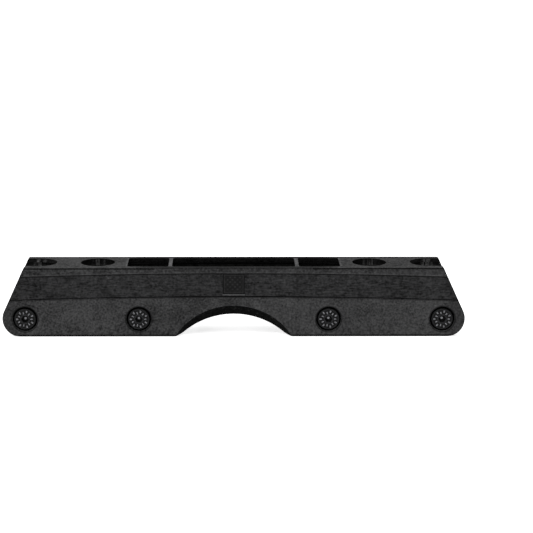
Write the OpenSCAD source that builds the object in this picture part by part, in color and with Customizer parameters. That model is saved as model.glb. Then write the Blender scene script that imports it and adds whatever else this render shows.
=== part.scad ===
// Aggressive inline skate frame: a moulded one-piece body with an arched grind block,
// four two-piece axles and two captive mounting nuts.
// X runs along the frame with the front at +X, Y across it, Z up from the bottom edge. Millimetres.

/* [Axle places] */
// Distance between the two outermost axles
outer_axle_spacing = 255; // [248:1:270]
// Distance between the two middle axles
inner_axle_spacing = 116; // [110:1:122]
// Height of the axle centres above the bottom edge
axle_height = 11; // [10.2:0.1:13]

/* [Side outline] */
// Height of the deck above the bottom edge
frame_height = 43; // [40:0.5:47]
// Lean of the two ends from upright, in degrees
end_slope = 25; // [12:1:28]
// Radius of the rounded lower end corners
toe_radius = 11.2; // [10.4:0.1:14]
// How far the round of a lower end corner is centred beyond the outermost axle
toe_overhang = 2.6; // [1:0.1:5]
// Radius of the upper end corners
shoulder_radius = 1.6; // [0.5:0.1:3]

/* [Side walls] */
// Clear width between the walls
bay_width = 25; // [24.5:0.1:27]
// Thickness of a wall at its bottom edge
wall_bottom = 4.2; // [3.8:0.1:5]
// Thickness of a wall just below the crease
wall_below_crease = 3.65; // [3.4:0.05:4.4]
// Thickness of a wall just above the crease
wall_above_crease = 3.15; // [2.9:0.05:3.3]
// Thickness of a wall just below the top flange
wall_below_flange = 2.9; // [2.5:0.05:3.1]
// Height of the crease above the bottom edge, in the middle of the frame
crease_height = 24.9; // [23:0.1:26]
// Height of the fine groove along the crease
crease_groove_height = 0.5; // [0.3:0.05:0.8]
// Depth of the fine groove along the crease
crease_groove_depth = 0.5; // [0.3:0.05:0.7]
// Height of the flange below the deck, in the middle of the frame
flange_height = 3.2; // [2.6:0.1:4]
// How far the crease and the flange's lower edge bow up from the outermost axles to the middle
band_bow = 2.1; // [1:0.1:2.8]
// How far the flange stands out from the wall
flange_step = 0.45; // [0.2:0.05:0.8]
// How far the flange's face leans in towards the deck
flange_lean = 0.45; // [0.2:0.05:0.6]
// Chamfer of the bottom outer edges
bottom_break = 0.9; // [0.5:0.1:1.4]
// Chamfer of the outer edges of the deck
deck_break = 0.2; // [0.1:0.05:0.25]

/* [Deck] */
// Thickness of the deck
deck_thickness = 2.4; // [2:0.1:3.2]
// Thickness of the lip above the groove in the deck's long edges
edge_lip = 0.35; // [0.3:0.05:0.6]
// Height of the groove in the deck's long edges
edge_groove_height = 0.7; // [0.4:0.1:1]
// Depth of the groove in the deck's long edges
edge_groove_depth = 1; // [0.6:0.1:1.4]
// Distance from the middle to the start of the groove in the deck's long edges
edge_groove_start = 48; // [40:1:60]
// Width of the windows in the deck
window_width = 23; // [21:0.5:24]
// Distance from the middle to the outer end of a wheel window
window_end = 65; // [62:0.5:67]
// Corner radius of the windows
window_corner = 1.6; // [0.8:0.1:3]
// Distance from the middle to the centre of a cross rib
rib_position = 38.7; // [36:0.1:41]
// Thickness of a cross rib at the deck
rib_thickness = 2.2; // [1.9:0.1:3]
// Thickness of the web that carries a cross rib
rib_web = 1.4; // [1:0.1:1.6]
// Depth of a cross rib below the deck's top
rib_depth = 9; // [7:0.5:9.5]
// Width of the open notch at each end of the deck
notch_width = 21; // [18:0.5:23]
// How far the round end of a notch is centred inboard of the outermost axle
notch_setback = 8.5; // [6:0.1:10]

/* [Boot mounts] */
// Distance between the two mounting bolts
mount_spacing = 167; // [165:0.5:170]
// Diameter of a mounting recess
recess_d = 21; // [19:0.5:22]
// Depth of a mounting recess below the deck's top
recess_depth = 4.4; // [4:0.1:5]
// Thickness of the floor under a mounting recess
recess_floor = 2; // [1.6:0.1:2.6]
// How far the round boss of a mount runs into each side wall
boss_bite = 0.5; // [0.3:0.1:1]
// Diameter of the bolt hole in a recess floor
bolt_hole_d = 6.6; // [6.4:0.1:7]
// Thread diameter of a mounting nut
nut_thread_d = 6; // [5:0.5:6]
// Width across the flats of a mounting nut
nut_flats = 10; // [9:0.5:11]
// Thickness of a mounting nut
nut_thickness = 3.2; // [2.5:0.1:4]
// Clearance around a nut in its pocket
nut_clearance = 0.05; // [0.02:0.01:0.15]
// Wall around a nut's pocket at its corners
nut_wall = 1.7; // [1.2:0.1:2]

/* [Arch] */
// Height of the arch on the outer faces of the walls
arch_rise = 20.3; // [18:0.1:21]
// Radius of the arch on the outer faces of the walls
arch_radius = 41.5; // [39:0.5:45]
// Height of the grind channel between the walls
channel_rise = 13.6; // [12:0.1:14.5]
// Radius of the grind channel between the walls
channel_radius = 47; // [44:0.5:52]
// Width of the flat land between the arch bevel and the inner face of a wall
arch_land = 0.8; // [0.4:0.1:1.4]
// Radius where the grind channel runs out into the bottom edges
channel_runout = 10; // [6:0.5:14]
// Length of the grind block that joins the walls
block_length = 48; // [40:1:52]
// Thickness of the grind block over the crown of the channel
block_thickness = 7; // [5:0.5:9]

/* [Axles] */
// Outside diameter of an axle sleeve
axle_d = 8; // [7:0.5:8.5]
// Running clearance around a sleeve in the walls
axle_clearance = 0.05; // [0.03:0.01:0.1]
// Diameter of an axle head
head_d = 13; // [12:0.5:14]
// Thickness of an axle head
head_thickness = 2; // [1.6:0.1:2.2]
// Chamfer around an axle head
head_break = 0.4; // [0.2:0.1:0.6]
// Gap around an axle head in its counterbore
head_gap = 1.1; // [0.6:0.1:1.4]
// Wall left under an axle head
seat_wall = 1.7; // [1.3:0.1:1.9]
// Diameter of the raised hub seats inside the walls
hub_seat_d = 12.5; // [11:0.5:14]
// Height of the raised hub seats inside the walls
hub_seat_height = 0.5; // [0.3:0.1:0.8]
// Shank diameter of an axle bolt
bolt_d = 6; // [5:0.25:6]
// Clearance around a bolt's shank in its sleeve
bolt_clearance = 0.05; // [0.03:0.01:0.1]
// Length of a bolt's shank
bolt_length = 16; // [12:0.5:18]
// Spare depth of a sleeve's bore past the end of the bolt
bore_spare = 2; // [1:0.5:4]
// Gap between a sleeve's end and the bolt's head
sleeve_end_gap = 0.4; // [0.2:0.1:1]
// Width across the flats of a hex socket
socket_flats = 4; // [3:0.5:4.5]
// Depth of a hex socket
socket_depth = 2.8; // [2:0.1:3.2]
// Number of raised grip bars around an axle head
grip_bars = 14; // [8:1:18]
// Width of a grip bar
grip_bar_width = 0.7; // [0.4:0.1:0.9]
// Height of a grip bar
grip_bar_height = 0.2; // [0.1:0.05:0.3]
// Plain margin on both ends of a grip bar
grip_bar_margin = 0.8; // [0.5:0.1:1]

/* [Panels] */
// Length of the sunk square panel on one upper band
badge_length = 13.4; // [8:0.1:20]
// Height of the sunk square panel
badge_height = 12.8; // [8:0.1:13.2]
// Gap between the square panel and the flange above it
badge_gap = 0.4; // [0.2:0.1:1]
// Length of the sunk label panel on the other side's lower band
label_length = 29; // [20:0.5:34]
// Height of the sunk label panel
label_height = 10.4; // [8:0.1:14]
// Distance from the middle to the centre of the label panel
label_position = 92; // [90:0.5:94]
// Depth of both panels
panel_depth = 0.35; // [0.2:0.05:0.5]

/* [Hidden] */
$fn = 64;
// Overshoot of a cutter past the face that it opens
over = 1;
// Thickness of the discs that the arch bevel is drawn between
disc = 0.01;
// Facets around the arch bevel
bevel_facets = 96;
// Facets around the whole circle of which the bowed crease is a short piece
bow_facets = 1440;
body_colour = [0.16, 0.16, 0.165];
axle_colour = [0.11, 0.11, 0.12];
nut_colour = [0.62, 0.63, 0.65];

// Axle places from the rear to the front
axle_x = [-outer_axle_spacing / 2, -inner_axle_spacing / 2, inner_axle_spacing / 2, outer_axle_spacing / 2];
toe_x = outer_axle_spacing / 2 + toe_overhang;
// Where the slanted end leaves the toe's round
end_foot = [toe_x + toe_radius * cos(end_slope), toe_radius + toe_radius * sin(end_slope)];
end_top_x = end_foot[0] - (frame_height - end_foot[1]) * tan(end_slope);
reach_x = toe_x + toe_radius;

bay_half = bay_width / 2;
half_width = bay_half + max(wall_bottom, wall_below_crease, wall_below_flange + flange_step);
deck_underside = frame_height - deck_thickness;
flange_foot = frame_height - flange_height;
// Section points of the outer faces, each [half width, height]
bottom_point = [bay_half + wall_bottom, bottom_break];
crease_point = [bay_half + wall_below_crease, crease_height];
band_foot = [bay_half + wall_above_crease, crease_height];
band_head = [bay_half + wall_below_flange, flange_foot];
flange_point = [bay_half + wall_below_flange + flange_step, flange_foot - band_bow];
deck_half = flange_point[0] - flange_lean;
// Radius of the bow, from its rise over half the distance between the outermost axles
bow_radius = (pow(outer_axle_spacing / 2, 2) + pow(band_bow, 2)) / (2 * band_bow);

badge_rise = (flange_foot - crease_height - badge_height) / 2 - badge_gap;

recess_base = frame_height - recess_depth - recess_floor;
nut_pocket_flats = nut_flats + 2 * nut_clearance;
nut_boss_d = corner_d(nut_pocket_flats) + 2 * nut_wall;

seat_y = bay_half + seat_wall;
counterbore_d = head_d + 2 * head_gap;
sleeve_length = 2 * seat_y - sleeve_end_gap;
bore_depth = bolt_length - sleeve_end_gap + bore_spare;

// Points mirrored to the other side, in reverse order
function mirrored(points) = [for (i = [len(points) - 1:-1:0]) [-points[i][0], points[i][1]]];

// Diameter across the corners of a hexagon with the given width across its flats
function corner_d(flats) = flats / cos(30);

// Point on the line of a band's sunk face, 0 at the crease and 1 at the flange in the middle of the frame
function band_line(t) = band_foot + t * (band_head - band_foot);

// Upright section of the solid outer form, across the frame, with its side bands not yet sunk
module section_2d() {
    right = [
        [bottom_point[0] - bottom_break, 0],
        bottom_point,
        crease_point,
        flange_point,
        [deck_half, frame_height - deck_break],
        [deck_half - deck_break, frame_height]
    ];
    polygon(concat(right, mirrored(right)));
}

// Corner left over outside the round that joins the level top edge to a slanted end
module shoulder_waste_2d() {
    half_angle = (90 + end_slope) / 2;
    tangent = shoulder_radius / tan(half_angle);
    corner = [end_top_x, frame_height];
    along_end = [sin(end_slope), -cos(end_slope)];
    difference() {
        polygon([
            corner + [over, over],
            corner - [tangent, -over],
            corner - [tangent, shoulder_radius],
            corner + tangent * along_end,
            corner + tangent * along_end + [over, 0]
        ]);
        translate(corner - [tangent, shoulder_radius])
            circle(r = shoulder_radius);
    }
}

// Side outline: straight bottom and deck, slanted ends, round lower and upper corners
module outline_2d() {
    difference() {
        union() {
            right = [[toe_x, 0], [toe_x, toe_radius], end_foot, [end_top_x, frame_height]];
            polygon(concat(right, mirrored(right)));
            for (x = [-toe_x, toe_x])
                translate([x, toe_radius])
                    circle(r = toe_radius);
        }
        for (end = [0, 1])
            mirror([end, 0])
                shoulder_waste_2d();
    }
}

// Grind channel: an arc that runs out into the bottom edge through a round on each side
module channel_2d() {
    centre = [0, channel_rise - channel_radius];
    reach = channel_radius + channel_runout;
    rise = channel_runout - centre[1];
    runout = [sqrt(reach * reach - rise * rise), channel_runout];
    meet = centre + (runout - centre) * channel_radius / reach;
    translate(centre)
        circle(r = channel_radius, $fn = 2 * bevel_facets);
    for (side = [0, 1])
        mirror([side, 0])
            difference() {
                polygon([meet, runout, [runout[0], -over], [meet[0], -over]]);
                translate(runout)
                    circle(r = channel_runout);
            }
}

// Window outline in the deck between two stations, with round corners
module window_2d(from, to) {
    half = window_width / 2;
    r = window_corner;
    translate([from + r, -half])
        square([to - from - 2 * r, window_width]);
    translate([from, r - half])
        square([to - from, window_width - 2 * r]);
    for (x = [from + r, to - r], y = [r - half, half - r])
        translate([x, y])
            circle(r = r);
}

// Side outline of a strip that bows up in the middle, where it lies between the two given heights
module bowed_2d(low, high) {
    intersection() {
        difference() {
            translate([0, high - bow_radius])
                circle(r = bow_radius, $fn = bow_facets);
            translate([0, low - bow_radius])
                circle(r = bow_radius, $fn = bow_facets);
        }
        translate([-reach_x - over, 0])
            square([2 * (reach_x + over), frame_height]);
    }
}

// Lays a side outline across the full width
module across(width) {
    rotate([90, 0, 0])
        linear_extrude(width, center = true)
            children();
}

// Both ends of the frame: the child and its mirror image
module both_ends() {
    for (end = [0, 1])
        mirror([end, 0, 0])
            children();
}

// Both sides of the frame: the child and its mirror image
module both_sides() {
    for (side = [0, 1])
        mirror([0, side, 0])
            children();
}

module outer_form() {
    intersection() {
        rotate([90, 0, 90])
            linear_extrude(2 * reach_x, center = true)
                section_2d();
        across(2 * half_width + 2 * over)
            outline_2d();
    }
}

// Bowed strip of the +Y wall outside the band's sunk face, cut deeper than that face by the given depth
module band_strip(low, high, depth) {
    outside = half_width + over;
    intersection() {
        across(2 * outside)
            bowed_2d(low, high);
        rotate([90, 0, 90])
            linear_extrude(2 * (reach_x + over), center = true)
                polygon([
                    band_line(-1) - [depth, 0],
                    [outside, band_line(-1)[1]],
                    [outside, band_line(2)[1]],
                    band_line(2) - [depth, 0]
                ]);
    }
}

// Groove under the lip of the deck's long edge, open at one end of the frame
module edge_groove() {
    translate([edge_groove_start, deck_half - edge_groove_depth, frame_height - edge_lip - edge_groove_height])
        cube([reach_x, edge_groove_depth + flange_lean + over, edge_groove_height]);
}

// Round pillar under a mounting recess, with the smaller boss that holds the nut
module mount_boss() {
    translate([mount_spacing / 2, 0, recess_base])
        cylinder(d = bay_width + 2 * boss_bite, h = frame_height - recess_base - deck_thickness / 2);
    translate([mount_spacing / 2, 0, recess_base - nut_thickness])
        cylinder(d = nut_boss_d, h = nut_thickness + recess_floor / 2);
}

// Hollow between the walls, less the pieces of the body that stand in it
module bay() {
    difference() {
        translate([-reach_x - over, -bay_half, -over])
            cube([2 * (reach_x + over), bay_width, deck_underside + over]);
        both_ends() {
            translate([rib_position - rib_web / 2, -bay_half - over, frame_height - rib_depth])
                cube([rib_web, bay_width + 2 * over, rib_depth]);
            mount_boss();
        }
        translate([-block_length / 2, -bay_half - over, -over])
            cube([block_length, bay_width + 2 * over, channel_rise + block_thickness + over]);
        both_sides()
            for (x = axle_x)
                translate([x, bay_half - hub_seat_height, axle_height])
                    rotate([-90, 0, 0])
                        cylinder(d = hub_seat_d, h = hub_seat_height + over);
    }
}

// Bolt recess, bolt hole and hex nut pocket of one boot mount
module mount_cut() {
    translate([mount_spacing / 2, 0, 0]) {
        translate([0, 0, frame_height - recess_depth])
            cylinder(d = recess_d, h = recess_depth + over);
        translate([0, 0, recess_base - over])
            cylinder(d = bolt_hole_d, h = recess_floor + 2 * over);
        translate([0, 0, recess_base - nut_thickness - over])
            cylinder(d = corner_d(nut_pocket_flats), h = nut_thickness + over, $fn = 6);
    }
}

// Notch that opens at one end of the deck
module notch_cut() {
    notch_x = outer_axle_spacing / 2 - notch_setback;
    translate([notch_x, 0, deck_underside - over])
        linear_extrude(deck_thickness + 2 * over) {
            circle(d = notch_width);
            translate([0, -notch_width / 2])
                square([reach_x - notch_x, notch_width]);
        }
}

module windows_cut() {
    inner = rib_position - rib_thickness / 2;
    translate([0, 0, deck_underside - over])
        linear_extrude(deck_thickness + 2 * over) {
            window_2d(-inner, inner);
            window_2d(inner + rib_thickness, window_end);
            mirror([1, 0])
                window_2d(inner + rib_thickness, window_end);
        }
}

// Wide bevel from the arch on a wall's outer face down to the land beside its inner face
module arch_bevel() {
    inner_y = bay_half + arch_land;
    outer_y = bay_half + wall_bottom;
    stretch = 1 + over / (outer_y - inner_y);
    radius = channel_radius + (arch_radius - channel_radius) * stretch;
    rise = channel_rise + (arch_rise - channel_rise) * stretch;
    hull() {
        translate([0, inner_y, channel_rise - channel_radius])
            rotate([-90, 0, 0])
                cylinder(r = channel_radius, h = disc, $fn = bevel_facets);
        translate([0, outer_y + over, rise - radius])
            rotate([-90, 0, 0])
                cylinder(r = radius, h = disc, $fn = bevel_facets);
    }
}

// Axle hole through both walls with a counterbore for each head
module axle_cut(x) {
    translate([x, 0, axle_height]) {
        rotate([90, 0, 0])
            cylinder(d = axle_d + 2 * axle_clearance, h = 2 * (half_width + over), center = true);
        both_sides()
            translate([0, seat_y, 0])
                rotate([-90, 0, 0])
                    cylinder(d = counterbore_d, h = half_width - seat_y + over);
    }
}

// Shallow panel sunk square into a straight face of the +Y wall, between two section points,
// its middle above the face's middle by the given rise
module panel_cut(foot, head, x, length, height, rise) {
    lean = atan2(foot[0] - head[0], head[1] - foot[1]);
    middle = (foot + head) / 2;
    translate([x, middle[0], middle[1]])
        rotate([lean, 0, 0])
            translate([-length / 2, -panel_depth, rise - height / 2])
                cube([length, panel_depth + over, height]);
}

module frame_body() {
    color(body_colour)
        difference() {
            outer_form();
            bay();
            windows_cut();
            both_ends() {
                mount_cut();
                notch_cut();
                both_sides()
                    edge_groove();
            }
            both_sides() {
                band_strip(crease_height, flange_foot, 0);
                band_strip(crease_height, crease_height + crease_groove_height, crease_groove_depth);
            }
            across(2 * half_width + 2 * over)
                channel_2d();
            both_sides()
                arch_bevel();
            for (x = axle_x)
                axle_cut(x);
            mirror([0, 1, 0])
                panel_cut(band_foot, band_head, 0, badge_length, badge_height, badge_rise);
            panel_cut(bottom_point, crease_point, -label_position, label_length, label_height, 0);
        }
}

// Low round axle head on the XY plane facing +Z, with its hex socket and ring of grip bars
module axle_head() {
    bar_start = corner_d(socket_flats) / 2 + grip_bar_margin;
    bar_end = head_d / 2 - head_break - grip_bar_margin;
    cylinder(d = head_d, h = head_thickness - head_break);
    translate([0, 0, head_thickness - head_break])
        cylinder(d1 = head_d, d2 = head_d - 2 * head_break, h = head_break);
    for (i = [0:grip_bars - 1])
        rotate(i * 360 / grip_bars)
            translate([bar_start, -grip_bar_width / 2, head_thickness - head_break])
                cube([bar_end - bar_start, grip_bar_width, head_break + grip_bar_height]);
}

module hex_socket() {
    translate([0, 0, head_thickness - socket_depth])
        cylinder(d = corner_d(socket_flats), h = socket_depth + over, $fn = 6);
}

// Male half of an axle, its head in the -Y wall
module axle_bolt(i) {
    color(axle_colour)
        translate([axle_x[i - 1], -seat_y, axle_height])
            rotate([90, 0, 0])
                difference() {
                    union() {
                        axle_head();
                        translate([0, 0, -bolt_length])
                            cylinder(d = bolt_d, h = bolt_length + head_thickness / 2);
                    }
                    hex_socket();
                }
}

// Female half of an axle, its head in the +Y wall and its bore open towards the bolt
module axle_sleeve(i) {
    color(axle_colour)
        translate([axle_x[i - 1], seat_y, axle_height])
            rotate([-90, 0, 0])
                difference() {
                    union() {
                        axle_head();
                        translate([0, 0, -sleeve_length])
                            cylinder(d = axle_d, h = sleeve_length + head_thickness / 2);
                    }
                    hex_socket();
                    translate([0, 0, -sleeve_length - over])
                        cylinder(d = bolt_d + 2 * bolt_clearance, h = bore_depth + over);
                }
}

// Hex nut held in the pocket under a mounting recess
module mount_nut(end) {
    color(nut_colour)
        translate([end * mount_spacing / 2, 0, recess_base - nut_thickness])
            difference() {
                cylinder(d = corner_d(nut_flats), h = nut_thickness, $fn = 6);
                translate([0, 0, -over])
                    cylinder(d = nut_thread_d, h = nut_thickness + 2 * over);
            }
}

frame_body();
for (i = [1:4])
    axle_bolt(i);
for (i = [1:4])
    axle_sleeve(i);
mount_nut(1);  // mount_nut_front
mount_nut(-1);  // mount_nut_rear
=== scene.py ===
"""Finish of an aggressive inline skate frame: moulded body, axles, nuts, sunk plates and a studio."""
import math
from itertools import permutations
from types import SimpleNamespace

import bmesh
import bpy
import numpy as np
from bpy.props import FloatProperty, FloatVectorProperty, IntProperty, PointerProperty
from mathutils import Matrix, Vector
from mathutils.geometry import intersect_point_line


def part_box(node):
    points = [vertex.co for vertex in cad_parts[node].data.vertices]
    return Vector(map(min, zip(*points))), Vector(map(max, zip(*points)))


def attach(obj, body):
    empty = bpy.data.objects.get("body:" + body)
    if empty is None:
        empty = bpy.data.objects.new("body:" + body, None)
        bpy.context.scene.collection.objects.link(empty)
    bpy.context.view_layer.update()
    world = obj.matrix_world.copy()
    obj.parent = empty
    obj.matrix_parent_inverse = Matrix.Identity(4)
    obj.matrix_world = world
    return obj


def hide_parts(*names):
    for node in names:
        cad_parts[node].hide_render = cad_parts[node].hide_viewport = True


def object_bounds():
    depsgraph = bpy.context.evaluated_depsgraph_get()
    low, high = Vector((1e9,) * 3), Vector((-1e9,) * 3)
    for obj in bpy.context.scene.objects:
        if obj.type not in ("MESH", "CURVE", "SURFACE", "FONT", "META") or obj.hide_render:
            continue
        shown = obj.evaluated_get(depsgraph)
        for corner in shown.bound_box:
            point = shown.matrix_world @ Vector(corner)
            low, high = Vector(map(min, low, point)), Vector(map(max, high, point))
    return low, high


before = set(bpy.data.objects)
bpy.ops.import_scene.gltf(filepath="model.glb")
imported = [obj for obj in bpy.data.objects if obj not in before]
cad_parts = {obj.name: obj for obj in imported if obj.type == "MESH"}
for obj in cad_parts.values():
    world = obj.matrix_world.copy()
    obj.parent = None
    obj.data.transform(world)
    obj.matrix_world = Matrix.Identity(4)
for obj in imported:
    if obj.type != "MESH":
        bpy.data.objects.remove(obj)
CAD_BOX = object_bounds()

bl_info = {
    "name": "Inline Skate Frame",
    "version": (1, 0, 0),
    "blender": (4, 5, 0),
    "location": "3D View > Sidebar > Skate Frame",
    "description": "Finishes a moulded grind frame with its axles, mounting nuts and sunk plates",
    "category": "Object",
}

MM = 0.001
FULL_TURN = 2 * math.pi
QUARTER_TURN = math.pi / 2
HEX_SIDES = 6
AXLES = (1, 2, 3, 4)
ENDS = ("front", "rear")
# Which way a piece's outer face looks along Y
NEAR_SIDE = -1
FAR_SIDE = 1
# Brightness of an axle's surface in painted shade, where 0 is its black coating and 1 bare steel
SHADED = -1.0
# How finely the turned pieces, their threads and the floor are divided
POINTS_PER_BAR = 12
POINTS_PER_FLAT = 24
ROWS_PER_PITCH = 8
RING_ROWS = 8
ROUND_ROWS = 7
SOCKET_ROWS = 4
TUBE_ROWS = 6
FLOOR_POINTS = 96
FLOOR_RINGS = 12
# Places along an edge, as shares of its length, where the room beside it is measured
ROOM_SAMPLES = (0.1, 0.5, 0.9)
# Side of its face on which a plate's thickness lies
INWARDS = -1.0
# Noise has its mean at this value
NOISE_MEAN = 0.5
# Layers of ever finer detail in a noise
FEW_LAYERS = 1.0
SOME_LAYERS = 2.0
MORE_LAYERS = 3.0
MANY_LAYERS = 4.0
# How far a rounded normal leaves its face's own where an edge begins to show and where it shows fully,
# and the rays that find it
EDGE_FAINT = 0.004
EDGE_FULL = 0.2
EDGE_SAMPLES = 4
# Height above a scratch's threshold at which it shows fully
SCRATCH_RISE = 0.05
# Straight marks in the nylon: width, turn away from X in the side view, stretch and rarity
SCUFFS = ((0.5 * MM, 0.5, 45, 0.16), (0.6 * MM, -0.8, 60, 0.17))
CUTS = ((0.7 * MM, -0.3, 40, 0.14), (0.6 * MM, 1.2, 25, 0.15))


def length(name, description, millimetres):
    """A length property with its default in millimetres."""
    return FloatProperty(name=name, description=description, default=millimetres * MM,
                         min=0.0, precision=5, unit="LENGTH")


def share(name, description, default):
    """A property between 0 and 1."""
    return FloatProperty(name=name, description=description, default=default,
                         min=0.0, max=1.0, subtype="FACTOR")


def number(name, description, default):
    """A plain number, which may lie outside 0 to 1."""
    return FloatProperty(name=name, description=description, default=default, precision=4)


def count(name, description, default, least):
    """A whole number."""
    return IntProperty(name=name, description=description, default=default, min=least)


def angle(name, description, degrees):
    """An angle property with its default in degrees."""
    return FloatProperty(name=name, description=description, default=math.radians(degrees), subtype="ANGLE")


def colour(name, description, *rgb):
    """A colour property, in linear light."""
    return FloatVectorProperty(name=name, description=description, default=rgb,
                               min=0.0, max=1.0, subtype="COLOR")


class BodySettings(bpy.types.PropertyGroup):
    """Edges and zones of the moulded body."""

    edge_radius: length("Edge radius", "Round of the walls' edges", 0.3)
    edge_segments: count("Edge segments", "Faces across an edge's round", 2, 1)
    least_room: length("Least room", "Edges beside narrower faces than this stay sharp", 1.0)
    sharp_angle: angle("Sharp angle", "Least bend between two faces that counts as an edge", 25)
    run_bend: angle("Run bend", "Largest bend between two edges that belong to one run", 30)
    tight_corner: angle("Tight corner", "Corners of a face that are tighter than this stay sharp", 20)
    merge: length("Merge", "Corners nearer to each other than this become one", 0.002)
    flat_angle: angle("Flat angle", "Faces that bend less than this become one", 0.6)
    upright: share("Upright", "Share of a normal across the frame that makes a face upright", 0.9)
    level: share("Level", "Share of a normal upwards that makes a face level", 0.9)
    facing_blur: share("Facing blur", "Blur of both shares", 0.3)
    overhang: share("Overhang", "Share of a normal downwards that makes a face overhang", 0.3)
    overhang_blur: share("Overhang blur", "Blur of that share", 0.18)
    blur: length("Blur", "Width over which one zone of the nylon fades into the next", 0.2)
    crease: length("Crease", "Height of the crease in the middle of the frame", 24.9)
    crease_groove: length("Crease groove", "Height of the groove along the crease", 0.5)
    # Painted shade under the crease's groove
    crease_grime: length("Crease grime", "Height of the dark line under that groove", 0.5)
    groove_floor: length("Groove floor", "Distance of that groove's floor from the middle plane", 15.2)
    flange: length("Flange", "Height of the flange's lower edge in the middle of the frame", 39.8)
    # Painted shadow under the flange
    flange_grime: length("Flange grime", "Height of the dark line under the flange", 0.8)
    # The flange's lower edge takes a painted highlight
    flange_rub: length("Flange rub", "Height of the rubbed lower edge of the flange", 0.8)
    bow_radius: length("Bow radius", "Radius of the bow of the crease and the flange", 3871)
    deck_edge: length("Deck edge", "Depth of the deck's edge that still counts as the deck", 0.35)
    # Painted shadow under the deck's outer edges
    deck_grime: length("Deck grime", "Height of the dark line under the deck's outer edges", 0.9)
    bay: length("Bay", "Half the clear width between the walls", 12.5)
    bay_room: length("Bay room", "Edges no further inside the bay than this are the walls'", 0.2)
    window_end: length("Window end", "Distance of the windows' outer ends from the middle of the frame", 65)
    window_half: length("Window half", "Half the width of the windows", 11.5)
    window_fade: length("Window fade", "Distance over which the ribs' finish ends past the windows", 2)
    rim_fade: length("Rim fade", "Distance over which the dark rims end before the windows do", 16)
    seat: length("Seat", "Distance of the axle heads' seats from the middle plane", 14.2)
    floor_room: length("Floor room", "Height above a sunk floor that still counts as sunk", 0.3)
    hole_gap: length("Hole gap", "Gap around an axle head in its counterbore", 1.1)
    # Painted shade around the counterbores
    hole_grime: length("Hole grime", "Width of the dark ring around a counterbore", 1.1)
    hole_solid: share("Hole solid", "Share of that ring's width that is fully dark", 1 / 3)
    # The polished parts are glossier and carry painted highlight streaks
    recess_place: length("Recess place", "Distance of the mounting recesses from the frame's middle", 83.5)
    notch_place: length("Notch place", "Distance of the end notches' polished part from the middle", 120.5)
    polish_half: length("Polish half", "Half the length of a polished part", 2)
    polish_depth: length("Polish depth", "Depth of a polished part under the deck", 5)
    polish_fade: length("Polish fade", "Distance over which a polished part fades", 3)
    # Painted shade along the bottom edge
    foot_grime: length("Foot grime", "Height of the dark line along the bottom edge", 1.0)
    foot_fade: length("Foot fade", "Height over which that line fades", 0.6)
    end_reach: length("End reach", "Distance from the tips at which the ends are darkest", 3)
    end_fade: length("End fade", "Distance over which the ends darken", 12)
    # The lip under the square panel takes a painted highlight
    lip: length("Lip", "Height of the rubbed lip under the square panel", 0.7)


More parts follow.
